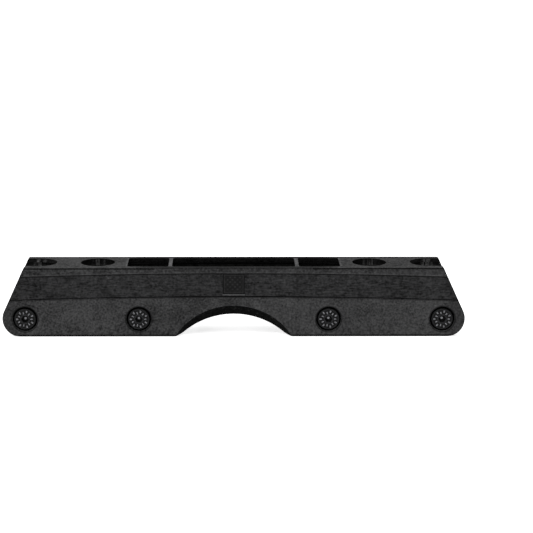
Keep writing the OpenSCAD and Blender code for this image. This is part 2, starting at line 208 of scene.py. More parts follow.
class NylonSettings(bpy.types.PropertyGroup):
    """Colours, marks and gloss of the moulded nylon."""

    nylon: colour("Nylon", "Colour of the moulded nylon", 0.0305, 0.0305, 0.031)
    # Darker colour of the upper bands, which the rims beside the windows also take as painted shade
    band: colour("Band", "Colour of the smooth upper bands", 0.0165, 0.0165, 0.017)
    # Painted light: every upward face takes this lighter colour, as if lit from above
    deck: colour("Deck", "Colour of the deck", 0.046, 0.046, 0.0465)
    # Painted shade on every downward face, the grind arch's slopes among them
    channel: colour("Channel", "Colour of the slick faces of the grind arch", 0.0024, 0.0024, 0.0024)
    # Painted shade on the faces between the walls
    inner: colour("Inner", "Colour of the smooth faces between the walls", 0.008, 0.008, 0.008)
    # Painted shade in the grooves, the counterbores and the plates' seams
    groove: colour("Groove", "Colour of the grooves and counterbores", 0.0025, 0.0025, 0.0025)
    # Colour of the painted highlight streaks on the recess and notch walls
    polished: colour("Polished", "Colour of the polished streaks in recesses and notches", 0.07, 0.07, 0.07)
    # Colour of rubbed nylon, also used for the painted highlights on the ribs' tops, the lip and the
    # flange's lower edge
    worn: colour("Worn", "Colour of rubbed nylon", 0.1, 0.1, 0.102)
    roughness: share("Roughness", "Mean roughness", 0.66)
    rough_spread: share("Roughness spread", "How much the roughness varies", 0.14)
    refraction: number("Refraction", "Refractive index of the matt base", 1.06)
    sheen: share("Sheen", "Strength of the soft gloss on the outside", 0.1)
    sheen_spread: share("Sheen spread", "How much that gloss varies", 0.08)
    sheen_roughness: share("Sheen roughness", "Roughness of that gloss", 0.42)
    rub_sheen: share("Rub sheen", "Gloss that rubbing and polishing add", 0.3)
    grain: length("Grain", "Size of the moulded grain", 0.55)
    pit: length("Pit", "Size of the pits between the grain", 1.43)
    pit_rarity: share("Pit rarity", "How rare the pits are", 0.06)
    pit_rise: share("Pit rise", "How softly a pit begins", 0.16)
    mottle: length("Mottle", "Size of the mottled marks", 1.25)
    cloud: length("Cloud", "Size of the cloudy marks", 9)
    wide: length("Wide", "Size of the widest changes of shade", 38)
    streak: length("Streak", "Width of the flow streaks in the upper bands", 0.48)
    streak_stretch: number("Streak stretch", "Length of a flow streak over its width", 9)
    drift: length("Drift", "Width of the slanted streaks below the bands", 0.72)
    drift_turn: angle("Drift turn", "Slant of those streaks", 63)
    drift_stretch: number("Drift stretch", "Length of a slanted streak over its width", 4)
    # The polished streaks are painted highlights as well as gloss
    polish_streak: length("Polish streak", "Width of the polished streaks", 1.6)
    polish_stretch: number("Polish stretch", "Length of a polished streak over its width", 20)
    polish_rarity: number("Polish rarity", "Where a polished streak begins to show", -0.08)
    polish_rise: share("Polish rise", "How softly a polished streak begins", 0.18)
    mottle_shade: number("Mottle shade", "Strength of the mottled marks", 3.3)
    cloud_shade: number("Cloud shade", "Strength of the cloudy marks", 1.2)
    wide_shade: number("Wide shade", "Strength of the widest changes of shade", 0.9)
    streak_shade: number("Streak shade", "Strength of the flow streaks", 3.4)
    drift_shade: number("Drift shade", "Strength of the slanted streaks", 0.8)
    cut_shade: number("Cut shade", "How much the cuts darken the nylon", 0.45)
    shade_reach: number("Shade reach", "How far the marks together may darken or lighten the nylon", 1.5)
    flange_band: share("Flange band", "How much of the bands' finish the flange leaves out", 0.7)
    # Painted shade: the dark lines along the foot, under the flange, the crease and the deck's edges, the
    # rings round the counterbores and the rims beside the windows
    foot_shade: share("Foot shade", "Darkness of the line along the bottom edge", 0.93)
    flange_shade: share("Flange shade", "Darkness of the line under the flange", 0.72)
    crease_shade: share("Crease shade", "Darkness of the line under the crease", 0.55)
    hole_shade: share("Hole shade", "Darkness of the rings around the counterbores", 0.78)
    deck_shade: share("Deck shade", "Darkness of the line under the deck's outer edges", 0.6)
    # Painted shade on the rims beside the windows
    rim_shade: share("Rim shade", "Darkness of the rims beside the windows", 0.4)
    rim_band: share("Rim band", "How much of the bands' colour those rims have", 0.9)
    end_shade: share("End shade", "Darkness of the frame's ends", 0.3)
    wear: share("Wear", "How much the edges are rubbed", 0.14)
    wear_spread: share("Wear spread", "How much that wear varies", 0.2)
    wear_width: length("Wear width", "Width of the rubbed edges", 0.5)
    # Painted highlight on the ribs' tops
    rib_wear: share("Rib wear", "How much the ribs' tops are rubbed", 0.7)
    # Painted highlight on the lip under the square panel
    lip_wear: share("Lip wear", "How much the lip under the square panel is rubbed", 0.45)
    # Painted highlight on the flange's lower edge
    flange_wear: share("Flange wear", "How much the flange's lower edge is rubbed", 0.13)
    pit_wear: share("Pit wear", "How pale the pits are", 0.06)
    scuff_wear: share("Scuff wear", "How pale the scuffs are", 0.1)
    relief: length("Relief", "Depth of the moulded grain", 0.12)
    relief_strength: share("Relief strength", "Strength of that grain", 0.5)
    soft_relief: share("Soft relief", "Height of the mottle and the pits over the grain's", 0.65)
    cut_relief: share("Cut relief", "Depth of the scuffs and the cuts over the grain's", 0.43)


class AxleSettings(bpy.types.PropertyGroup):
    """Heads, threads and steel of the two-piece axles."""

    bar_height: length("Bar height", "How far the grip bars stand above a head's face", 0.2)
    head_thickness: length("Head thickness", "Thickness of a head without its bars", 2.0)
    head_round: length("Head round", "Round of a head's outer rim", 0.4)
    bars: count("Bars", "Grip bars around a head", 14, 3)
    bar_share: share("Bar share", "Share of the ring's width that a bar takes", 0.62)
    ring_depth: length("Ring depth", "Depth of the ring that the bars stand in", 0.15)
    rim: length("Rim", "Width of the plain rim around that ring", 0.8)
    slope: length("Slope", "Width of the slopes beside that ring", 0.09)
    crisp: length("Crisp", "Distance between the two rows that keep an edge crisp", 0.02)
    socket_flats: length("Socket flats", "Width across the flats of the hex socket", 4.0)
    socket_depth: length("Socket depth", "Depth of the hex socket", 2.8)
    socket_dish: length("Socket dish", "How far the socket's floor is dished", 0.35)
    socket_break: length("Socket break", "Chamfer around the hex socket", 0.2)
    socket_land: length("Socket land", "Plain ring around the hex socket", 0.75)
    # The bare spot in a socket is a painted highlight
    spot_share: share("Spot share", "Share of the socket's width that the bare spot in it takes", 0.33)
    spot_edge: share("Spot edge", "Share of the socket's width over which that spot fades", 0.08)
    bolt_radius: length("Bolt radius", "Radius of a bolt's thread crests", 2.97)
    bore_radius: length("Bore radius", "Radius of a sleeve's thread crests", 3.06)
    sleeve_radius: length("Sleeve radius", "Outer radius of a sleeve", 4.0)
    bore_depth: length("Bore depth", "Depth of a sleeve's bore", 17.6)
    bore_runout: length("Bore runout", "Plain length at the bottom of that bore", 1.0)
    pitch: length("Pitch", "Distance between thread crests", 1.0)
    thread_depth: length("Thread depth", "Depth of the threads", 0.32)
    thread_reach: length("Thread reach", "Length of thread on a bolt", 11.0)
    tip: length("Tip", "Length of a bolt's chamfered tip", 0.7)
    fillet: length("Fillet", "Fillet between a head and what it carries", 0.25)
    chamfer: length("Chamfer", "Chamfer of a sleeve's end and of a bolt's tip", 0.3)
    steel: colour("Blackened steel", "Colour of the blackened heads", 0.026, 0.026, 0.03)
    # Colour of rubbed and uncoated steel, also used for the painted highlight in each socket
    bare_steel: colour("Bare steel", "Colour of rubbed and uncoated steel", 0.46, 0.46, 0.48)
    # Colour of the painted shade in the sockets, between the bars and round the heads' rims
    grime: colour("Grime", "Colour of the dirt between the bars", 0.003, 0.003, 0.003)
    # Brightness of the painted highlight in a socket
    spot_shine: number("Spot shine", "Brightness of the bare spot in a socket", 0.43)
    bar_shine: number("Bar shine", "Brightness of the grip bars", 0.27)
    land_shine: number("Land shine", "Brightness of the plain ring around a socket", -0.62)
    rim_shine: number("Rim shine", "Brightness of a head's rim", -0.7)
    neck_shine: number("Neck shine", "Brightness beside a head's underside", 0.4)
    thread_shine: number("Thread shine", "Brightness of a bolt's crests", 0.75)
    groove_dull: number("Groove dull", "How much duller a bolt's thread grooves are", 0.4)
    tube_shine: number("Tube shine", "Brightness of a sleeve's ground tube", 0.8)
    bore_shine: number("Bore shine", "Brightness of a sleeve's bore", 0.5)
    cloud: length("Cloud", "Size of the cloudy marks in the steel", 2.2)
    turning: length("Turning", "Size of the fine turning marks", 0.25)
    turning_depth: length("Turning depth", "Depth of those marks", 0.03)
    turning_strength: share("Turning strength", "Strength of those marks", 0.35)
    wear: share("Wear", "How much the edges are rubbed", 0.27)
    wear_spread: share("Wear spread", "How much that wear varies", 0.36)
    wear_width: length("Wear width", "Width of the rubbed edges", 0.25)
    bare_spread: share("Bare spread", "How much the bare steel's brightness varies", 0.6)
    roughness: share("Roughness", "Roughness of the black coating", 0.42)
    rough_spread: share("Roughness spread", "How much the roughness varies", 0.2)
    bare_polish: share("Bare polish", "How much smoother the bare steel is", 0.12)
    # Extra roughness where the painted shade lies
    grime_roughness: share("Grime roughness", "How much rougher the dirt is", 0.4)
    coat_metal: share("Coat metal", "How metallic the black coating is", 0.35)
    specular: share("Specular", "Strength of the coating's own gloss", 0.3)


class NutSettings(bpy.types.PropertyGroup):
    """Captive mounting nuts."""

    flats: length("Flats", "Width across the flats", 10.0)
    thread_radius: length("Thread radius", "Radius of the thread crests", 3.0)
    thread_depth: length("Thread depth", "Depth of the thread", 0.3)
    pitch: length("Pitch", "Distance between thread crests", 1.0)
    countersink: length("Countersink", "Width and depth of the countersink around the thread", 0.35)
    corner_break: length("Corner break", "How far the end chamfer reaches in from the corners", 0.75)
    chamfer_angle: angle("Chamfer angle", "Fall of the end chamfer", 30)
    crisp: length("Crisp", "Distance between the two rows that keep an edge crisp", 0.02)
    zinc: colour("Zinc", "Colour of the zinc plating", 0.5, 0.5, 0.52)
    bloom: colour("Bloom", "Colour of the dull bloom on it", 0.3, 0.3, 0.32)
    bloom_size: length("Bloom size", "Size of the bloom's clouds", 1.6)
    bloom_start: number("Bloom start", "Where the bloom begins to show", -0.15)
    bloom_rise: share("Bloom rise", "How softly the bloom begins", 0.5)
    grain: length("Grain", "Size of the plating's grain", 0.2)
    grain_depth: length("Grain depth", "Depth of that grain", 0.02)
    grain_strength: share("Grain strength", "Strength of that grain", 0.3)
    roughness: share("Roughness", "Mean roughness", 0.42)
    rough_spread: share("Roughness spread", "How much the roughness varies", 0.25)
    metal: share("Metal", "How metallic the plating is", 0.95)
    metal_spread: share("Metal spread", "How much that varies", 0.1)


class PlateSettings(bpy.types.PropertyGroup):
    """Bare plates in the sunk panels of the walls."""

    badge_length: length("Badge length", "Length of the square panel", 13.4)
    label_length: length("Label length", "Length of the long panel", 29)
    label_place: length("Label place", "Distance of the long panel's middle from the frame's middle", 92)
    touch: length("Touch", "Corners nearer to a panel's end than this belong to it", 0.005)
    level_room: length("Level room", "Corners nearer in height than this lie at one level", 0.1)
    seam: length("Seam", "Width of the dark seam around a plate", 0.7)
    seam_rise: length("Seam rise", "Height of the seam above a panel's floor", 0.11)
    face_rise: length("Face rise", "Height of a plate's face above a panel's floor", 0.17)
    border: length("Border", "Width of a plate's raised border", 0.5)
    relief: length("Relief", "Height of the border and the dots above the face", 0.08)
    slope: length("Slope", "Width of the slopes beside the seam and the border", 0.12)
    dot_step: length("Dot step", "Distance between the dots", 1.5)
    cell: length("Cell", "Size of the cells of a plate's mesh", 0.12)
    thickness: length("Thickness", "Thickness of a plate", 0.1)
    badge: colour("Badge", "Colour of the square plate", 0.006, 0.006, 0.006)
    label: colour("Label", "Colour of the long plate", 0.026, 0.0255, 0.029)
    cloud: length("Cloud", "Size of the cloudy marks", 4)
    grain: length("Grain", "Size of the fine grain", 0.385)
    grain_depth: length("Grain depth", "Depth of that grain", 0.05)
    grain_strength: share("Grain strength", "Strength of that grain", 0.4)
    shade: share("Shade", "Strength of the cloudy marks and the grain", 0.4)
    raised_wear: share("Raised wear", "How pale the border and the dots are", 0.12)
    raised_spread: share("Raised spread", "How much that varies", 0.16)
    edge_wear: share("Edge wear", "How much the edges are rubbed", 0.14)
    wear_width: length("Wear width", "Width of the rubbed edges", 0.3)
    smoothness: share("Smoothness", "How much smoother a plate is than the body", 0.08)
    rough_spread: share("Roughness spread", "How much the roughness varies", 0.12)


class StageSettings(bpy.types.PropertyGroup):
    """Camera and studio."""

    azimuth: angle("Azimuth", "Turn of the camera about the frame", -0.2)
    elevation: angle("Elevation", "Height of the camera above level", 14.2)
    distance: length("Distance", "From the camera to the middle of the frame", 1030)
    aim_height: length("Aim height", "Height that the camera looks at", 21)
    sight: length("Sight", "How far the camera sees", 50000)
    lens: FloatProperty(name="Lens", description="Focal length", default=112.35, unit="CAMERA")
    shift_x: number("Shift X", "Sideways shift of the picture", 0.0617)
    shift_y: number("Shift Y", "Upward shift of the picture", 0.0568)
    floor_radius: length("Floor radius", "Radius of the floor", 9000)
    floor_middle: length("Floor middle", "Radius of the floor's innermost ring", 180)
    floor_gap: length("Floor gap", "Gap between the frame and the floor", 0.05)
    floor_paint: colour("Floor", "Colour of the floor", 0.97, 0.97, 0.97)
    floor_patch: colour("Floor patch", "Colour of its duller patches", 0.9, 0.9, 0.9)
    floor_cloud: length("Floor cloud", "Size of those patches", 400)
    patch_share: share("Patch share", "How much the patches show", 0.2)
    patch_spread: share("Patch spread", "How much that varies", 0.4)
    floor_roughness: share("Floor roughness", "Roughness of the paint", 0.9)
    rough_spread: share("Roughness spread", "How much the roughness varies", 0.1)
    floor_specular: share("Floor specular", "Strength of the paint's gloss", 0.1)
    floor_glow: number("Floor glow", "Light of the floor itself", 0.75)
    sky_colour: colour("Sky colour", "Colour of the even light", 1.0, 1.0, 1.0)
    sky: number("Sky", "Strength of the even light from all round", 0.36)
    key: number("Key lamp", "Strength of the lamp high in front", 1.6)
    key_spread: angle("Key spread", "Width of the front lamp", 50)
    key_tilt: angle("Key tilt", "Lean of the front lamp from overhead", 35)
    key_turn: angle("Key turn", "Turn of the front lamp about the frame", -30)
    back: number("Back lamp", "Strength of the lamp behind", 0.8)
    back_spread: angle("Back spread", "Width of the back lamp", 60)
    back_tilt: angle("Back tilt", "Lean of the back lamp from overhead", -40)
    back_turn: angle("Back turn", "Turn of the back lamp about the frame", 15)


class Value:
    """A socket of a material's nodes. Python's operators on it add Math nodes, also with plain numbers."""

    def __init__(self, finish, socket):
        self.finish = finish
        self.socket = socket

    def maths(self, operation, first, second):
        """A Math node on two values, of which one may be a plain number."""
        return self.finish.add("ShaderNodeMath", {"operation": operation}, {0: first, 1: second})

    def __add__(self, other):
        return self.maths("ADD", self, other)

    __radd__ = __add__

    def __sub__(self, other):
        return self.maths("SUBTRACT", self, other)

    def __rsub__(self, other):
        return self.maths("SUBTRACT", other, self)

    def __neg__(self):
        return 0 - self

    def __mul__(self, other):
        return self.maths("MULTIPLY", self, other)

    __rmul__ = __mul__

    def __abs__(self):
        return self.finish.add("ShaderNodeMath", {"operation": "ABSOLUTE"}, {0: self})

    def ramp(self, low, high):
        """0 where this value is low, 1 where it is high, with a smooth rise between."""
        return self.finish.add("ShaderNodeMapRange", {"interpolation_type": "SMOOTHSTEP"},
                               {"Value": self, "From Min": low, "From Max": high})

    def above(self, limit, blur):
        """1 above a limit, fading to 0 over a blur below it."""
        return self.ramp(limit - blur, limit)

    def below(self, limit, blur):
        """1 below a limit, fading to 0 over a blur above it."""
        return 1 - self.ramp(limit, limit + blur)

    def between(self, low, high, blur):
        """1 from low to high, fading to 0 over a blur on both sides."""
        return self.above(low, blur) * self.below(high, blur)


class Finish:
    """A material that is built node by node around one Principled shader."""

    def __init__(self, name):
        self.material = bpy.data.materials.new(name)
        self.material.use_nodes = True
        self.tree = self.material.node_tree
        self.shader = self.tree.nodes["Principled BSDF"]

    def add(self, kind, settings=None, inputs=None, output=0):
        """Any node: its settings are set first, then its sockets are given values or links."""
        node = self.tree.nodes.new(kind)
        for key, value in (settings or {}).items():
            setattr(node, key, value)
        for key, value in (inputs or {}).items():
            self.feed(node.inputs[key], value)
        return Value(self, node.outputs[output])

    def feed(self, socket, value):
        """Links a Value to a socket, or sets a constant on it."""
        if isinstance(value, Value):
            self.tree.links.new(value.socket, socket)
        else:
            socket.default_value = value

    def mix(self, first, second, factor):
        """Colour between two colours; the factor may vary."""
        # An RGBA Mix node has its factor at socket 0, its colours at 6 and 7 and its result at 2
        inputs = {0: factor, 6: opaque(first), 7: opaque(second)}
        return self.add("ShaderNodeMix", {"data_type": "RGBA"}, inputs, 2)

    def scaled(self, tone, factor):
        """A colour made lighter or darker by a varying factor."""
        return self.add("ShaderNodeVectorMath", {"operation": "SCALE"}, {0: tone, "Scale": factor})

    def place(self, output="Object"):
        """Object coordinates, or another output of the Texture Coordinate node."""
        return self.add("ShaderNodeTexCoord", output=output)

    def axis(self, vector, letter):
        """One axis of a vector."""
        return self.add("ShaderNodeSeparateXYZ", inputs={"Vector": vector}, output=letter)

    def noise(self, size, detail=SOME_LAYERS, vector=None):
        """Noise about 0, mostly within 0.3 of it, with features of the given size in metres."""
        inputs = {"Vector": vector or self.place(), "Scale": 1 / size, "Detail": detail}
        return self.add("ShaderNodeTexNoise", {}, inputs) - NOISE_MEAN

    def drawn(self, size, turn, stretch):
        """Noise drawn out along one direction, which turns away from X in the side view."""
        along = self.add("ShaderNodeMapping", {}, {"Vector": self.place(), "Rotation": (0.0, turn, 0.0)})
        longer = self.add("ShaderNodeMapping", {}, {"Vector": along, "Scale": (1 / stretch, 1.0, 1.0)})
        return self.noise(size, vector=longer)

    def scratches(self, size, turn, stretch, rarity):
        """Thin straight marks: drawn-out noise, kept only near its crests."""
        return self.drawn(size, turn, stretch).ramp(rarity, rarity + SCRATCH_RISE)

    def edges(self, radius):
        """About 0 on flat faces, rising to 1 on edges: how far the rounded normal leaves the face's own."""
        rounded = self.add("ShaderNodeBevel", {"samples": EDGE_SAMPLES}, {"Radius": radius})
        own = self.add("ShaderNodeNewGeometry", output="True Normal")
        along = self.add("ShaderNodeVectorMath", {"operation": "DOT_PRODUCT"},
                         {0: rounded, 1: own}, "Value")
        return (1 - along).ramp(EDGE_FAINT, EDGE_FULL)

    def attribute(self, name):
        """A number that the piece's mesh holds for each of its corners."""
        return self.add("ShaderNodeAttribute", {"attribute_name": name}, output="Fac")

    def bump(self, height, depth, strength):
        """Normal bent by a height, of which 1 stands for the depth in metres."""
        return self.add("ShaderNodeBump", {}, {"Strength": strength, "Distance": depth, "Height": height})

    def surface(self, **sockets):
        """Feeds the shader's own sockets and returns the finished material."""
        for name, value in sockets.items():
            socket = self.shader.inputs[name.replace("_", " ")]
            self.feed(socket, opaque(value) if socket.type == "RGBA" else value)
        return self.material


def opaque(value):
    """A colour with full alpha; anything else as it is."""
    if isinstance(value, (Value, float)):
        return value
    return (*value, 1.0)


def axle_places(s):
    """Distance of the inner and of the outer axles from the frame's middle, their height and the radius of
    their counterbores, from the boxes of the bolts."""
    low, high = np.array([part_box(f"axle_bolt_{i}") for i in AXLES]).transpose(1, 0, 2)
    middle = (low + high) / 2
    reach = np.abs(middle[:, 0])
    radius = (high[0, 0] - low[0, 0]) / 2 + s.hole_gap
    return float(reach.min()), float(reach.max()), float(middle[0, 2]), float(radius)


def body_zones(finish, s, plates):
    """Masks of the moulded body, each 1 in its zone and 0 outside it.

    They compare the place in the frame with the body's own sizes, and the way a face looks with the axes.
    The crease and the flange follow a bow. For them the height is raised by the square of the distance from
    the middle over twice the bow's radius, which makes it the same all along them.
    """
    facing = finish.place("Normal")
    upwards = finish.axis(facing, "Z")
    spot = finish.place()
    along = finish.axis(spot, "X")
    sideways = finish.axis(spot, "Y")
    height = finish.axis(spot, "Z")
    from_middle = abs(along)
    across = abs(sideways)
    bowed = height + along * along * (1 / (2 * s.bow_radius))
    tip, _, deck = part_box("frame_body")[1]
    groove_top = s.crease + s.crease_groove
    # Which way the face looks
    upright = abs(finish.axis(facing, "Y")).above(s.upright, s.facing_blur)
    # Upward faces take a lighter colour below, which is painted light from above
    top = upwards.above(s.level, s.facing_blur)
    # Downward faces take a dark colour below, which is painted shade
    under = (-upwards).above(s.overhang, s.overhang_blur)
    # Bands between the bowed lines
    above_crease = bowed.above(s.crease, s.blur)
    above_flange = bowed.above(s.flange, s.blur)
    groove = bowed.between(s.crease, groove_top, s.blur)
    groove = groove * across.below(s.groove_floor + s.floor_room, s.blur)
    # Painted shade along the crease
    crease_line = upright * bowed.between(s.crease - s.crease_grime, groove_top, s.blur)
    # Painted shadow under the flange
    flange_line = upright * bowed.above(s.flange - s.flange_grime, s.blur) * (1 - above_flange)
    # Painted highlight along the flange's lower edge
    half_glint = s.flange_rub / 2
    flange_edge = upright * above_flange * bowed.below(s.flange + half_glint, half_glint)
    # Deck, windows, bay and counterbores
    # Painted shadow under the deck's outer edges
    half_shadow = s.deck_grime / 2
    deck_line = upright * height.above(deck - half_shadow, half_shadow)
    before_ends = 1 - from_middle.ramp(s.window_end, s.window_end + s.window_fade)
    over_rim = across.above(s.window_half, s.blur)
    # Painted shade on the rims beside the windows
    rim_top = top * over_rim * from_middle.below(s.window_end - s.rim_fade, s.rim_fade)
    between_walls = across.below(s.bay, s.blur)
    # Faces between the walls below the deck take a dark colour: painted shade
    in_bay = between_walls * height.below(deck - s.deck_edge, s.blur)
    # The counterbores' seats and the crease's groove take a dark colour: painted shade
    sunk_seat = upright * across.below(s.seat + s.floor_room, s.blur) * (1 - between_walls)
    in_groove = (sunk_seat + groove).ramp(0, 1)
    # Polished parts of the recesses and the notches, which are glossier and carry painted highlight streaks
    in_recess = abs(from_middle - s.recess_place).below(s.polish_half, s.polish_fade)
    in_notch = abs(from_middle - s.notch_place).below(s.polish_half, s.polish_fade)
    near_deck = height.above(deck - s.polish_depth, s.polish_fade)
    # Dark rings of painted shade around the counterbores, by the squared distance from the nearest axle's
    # axis
    inner, outer, level, hole = axle_places(s)
    from_axle = abs(abs(from_middle - (outer + inner) / 2) - (outer - inner) / 2)
    from_level = height - level
    from_axis = from_axle * from_axle + from_level * from_level
    ring_start = (hole + s.hole_grime * s.hole_solid) ** 2
    ring_end = (hole + s.hole_grime) ** 2
    # Lip under the square panel on the near side, which takes a painted highlight
    panel_foot = panel_floor(plates, s.bay, 0.0, plates.badge_length, NEAR_SIDE)[0][1]
    on_near_side = 1 - sideways.ramp(-s.bay, s.bay)
    lip = upright * on_near_side * height.between(panel_foot - s.lip, panel_foot, s.blur)
    return SimpleNamespace(
        top=top,
        under=under,
        band=upright * above_crease,
        flange=above_flange,
        crease_line=crease_line,
        flange_line=flange_line,
        flange_edge=flange_edge,
        deck_line=deck_line,
        rib_top=top * before_ends * (1 - over_rim),
        rim_top=rim_top,
        in_bay=in_bay,
        in_groove=in_groove,
        outside=(1 - in_bay) * (1 - in_groove),
        polished=in_bay * near_deck * upright * (in_recess + in_notch),
        # Painted shade along the bottom edge
        foot=height.below(s.foot_grime, s.foot_fade),
        ends=from_middle.above(tip - s.end_reach, s.end_fade),
        hole_ring=upright * (1 - from_axis.ramp(ring_start, ring_end)),
        lip=lip * from_middle.below(plates.badge_length / 2, s.blur),
    )


def nylon_marks(finish, s):
    """Marks of moulding and use: noises about 0, and pits, scuffs and cuts that are 1 where they lie."""
    return SimpleNamespace(
        wide=finish.noise(s.wide, FEW_LAYERS),
        cloud=finish.noise(s.cloud, MANY_LAYERS),
        mottle=finish.noise(s.mottle, MANY_LAYERS),
        grain=finish.noise(s.grain, MORE_LAYERS),
        flow=finish.drawn(s.streak, 0.0, s.streak_stretch),
        drift=finish.drawn(s.drift, s.drift_turn, s.drift_stretch),
        streaks=finish.drawn(s.polish_streak, QUARTER_TURN, s.polish_stretch),
        pits=finish.noise(s.pit).ramp(s.pit_rarity, s.pit_rarity + s.pit_rise),
        scuffs=sum(finish.scratches(*mark) for mark in SCUFFS),
        cuts=sum(finish.scratches(*mark) for mark in CUTS),
    )


def moulded_nylon(body, s, plates):
    """Black glass-filled nylon: moulded grain, flow marks, scuffs and rubbed edges; upward faces lighter as
    painted light, painted highlights on ribs, lip, flange edge and recess walls, and painted shade inside,
    underneath, in grooves and in dark lines.
    """
    finish = Finish("moulded_nylon")
    zone = body_zones(finish, body, plates)
    mark = nylon_marks(finish, s)
    band = zone.band * (1 - zone.flange * s.flange_band)
    # Streaks of painted highlight and real gloss on the recess and notch walls
    polished = zone.polished * mark.streaks.ramp(s.polish_rarity, s.polish_rarity + s.polish_rise)
    rubbed = finish.edges(s.wear_width) * (s.wear + mark.cloud * s.wear_spread) * zone.outside
    # Colour of each zone
    tone = finish.mix(s.nylon, s.band, band)
    # Painted light: upward faces, the deck's top among them, are lighter
    tone = finish.mix(tone, s.deck, zone.top)
    # Painted shade: the rims beside the windows take the darker band colour
    tone = finish.mix(tone, s.band, zone.rim_top * s.rim_band)
    # Painted highlight: the ribs' tops are lighter
    tone = finish.mix(tone, s.worn, zone.rib_top * s.rib_wear)
    # Painted shade: downward faces are darkened
    tone = finish.mix(tone, s.channel, zone.under)
    # Painted shade between the walls, with painted highlight streaks on the recess and notch walls
    tone = finish.mix(tone, finish.mix(s.inner, s.polished, polished), zone.in_bay)
    # Painted shade in the grooves and the counterbores
    tone = finish.mix(tone, s.groove, zone.in_groove)
    tone = finish.mix(tone, s.worn, (mark.pits * s.pit_wear + mark.scuffs * s.scuff_wear) * zone.outside)
    # Shade of the marks, softly kept within its reach, and the dark lines: painted shade along the foot,
    # under the flange, the crease and the deck's edges, round the counterbores and on the rims; the ends
    # are simply darker
    shade = 1 + mark.mottle * s.mottle_shade + mark.cloud * s.cloud_shade + mark.wide * s.wide_shade
    shade = shade + mark.flow * s.streak_shade * band + mark.drift * s.drift_shade * (1 - band)
    shade = shade - mark.cuts * s.cut_shade
    shade = shade.ramp(1 - s.shade_reach, 1 + s.shade_reach) * 2
    lines = (
        (zone.foot, s.foot_shade),
        (zone.flange_line, s.flange_shade),
        (zone.crease_line, s.crease_shade),
        (zone.hole_ring, s.hole_shade),
        (zone.deck_line, s.deck_shade),
        (zone.rim_top, s.rim_shade),
        (zone.ends, s.end_shade),
    )
    for line, darkness in lines:
        shade = shade * (1 - line * darkness)
    tone = finish.scaled(tone, shade)
    # Painted highlights on the lip under the square panel and on the flange's lower edge
    tone = finish.mix(tone, s.worn, zone.lip * s.lip_wear + zone.flange_edge * s.flange_wear)
    tone = finish.mix(tone, s.worn, rubbed)
    # Roughness, gloss and relief
    rough = s.roughness + (mark.cloud + mark.grain - rubbed) * s.rough_spread
    gloss = s.sheen + mark.cloud * s.sheen_spread + rubbed * s.rub_sheen
    gloss = zone.outside * (1 - zone.under) * (1 - zone.foot) * gloss + polished * s.rub_sheen
    height = mark.grain + (mark.mottle + mark.pits) * s.soft_relief
    height = height - (mark.scuffs + mark.cuts) * s.cut_relief
    return finish.surface(Base_Color=tone, Roughness=rough, IOR=s.refraction,
                          Normal=finish.bump(height, s.relief, s.relief_strength),
                          Coat_Weight=gloss, Coat_Roughness=s.sheen_roughness)


def plate_nylon(name, tint, nylon, s):
    """Smoother nylon of a sunk plate: black in its seam as painted shade, paler where its border and dots
    stand up.
    """
    finish = Finish(name)
    raised = finish.attribute("raised")
    cloud = finish.noise(s.cloud, MORE_LAYERS)
    grain = finish.noise(s.grain)
    tone = finish.mix(tint, nylon.worn, raised.ramp(0, 1) * (s.raised_wear + cloud * s.raised_spread))
    tone = finish.mix(tone, nylon.worn, finish.edges(s.wear_width) * s.edge_wear)
    # Painted shade in the seam
    tone = finish.mix(tone, nylon.groove, (-raised).ramp(0, 1))
    tone = finish.scaled(tone, 1 + (cloud + grain) * s.shade)
    rough = nylon.roughness - s.smoothness + cloud * s.rough_spread
    return finish.surface(Base_Color=tone, Roughness=rough, IOR=nylon.refraction,
                          Normal=finish.bump(grain, s.grain_depth, s.grain_strength),
                          Coat_Weight=nylon.sheen + cloud * nylon.sheen_spread,
                          Coat_Roughness=nylon.sheen_roughness)


def blackened_steel(s):
    """Black-coated steel: bare where tools and bearings rub it, with a painted highlight of bare steel in
    each socket, and painted shade in the socket, the ring between the bars and round the head's rim.
    """
    finish = Finish("blackened_steel")
    bright = finish.attribute("bright")
    cloud = finish.noise(s.cloud, MORE_LAYERS)
    turning = finish.noise(s.turning)
    # Negative brightness marks the painted shade
    grime = (-bright).ramp(0, 1)
    rubbed = finish.edges(s.wear_width) * (s.wear + cloud * s.wear_spread) * (1 - grime)
    # Bare steel where worn, and in the painted highlight in each socket
    bare = (bright * (1 + cloud * s.bare_spread) + rubbed).ramp(0, 1)
    tone = finish.mix(s.steel, s.bare_steel, bare)
    tone = finish.mix(tone, s.grime, grime)
    rough = s.roughness + cloud * s.rough_spread - bare * s.bare_polish + grime * s.grime_roughness
    metal = s.coat_metal + bare * (1 - s.coat_metal)
    return finish.surface(Base_Color=tone, Roughness=rough, Metallic=metal,
                          Normal=finish.bump(turning, s.turning_depth, s.turning_strength),
                          Specular_IOR_Level=s.specular)


def zinc_plate(s):
    """Zinc-plated steel with a cloudy bloom."""
    finish = Finish("zinc_plate")
    cloud = finish.noise(s.bloom_size, MANY_LAYERS)
    grain = finish.noise(s.grain)
    tone = finish.mix(s.zinc, s.bloom, cloud.ramp(s.bloom_start, s.bloom_start + s.bloom_rise))
    return finish.surface(Base_Color=tone, Roughness=s.roughness + cloud * s.rough_spread,
                          Metallic=s.metal + cloud * s.metal_spread,
                          Normal=finish.bump(grain, s.grain_depth, s.grain_strength))


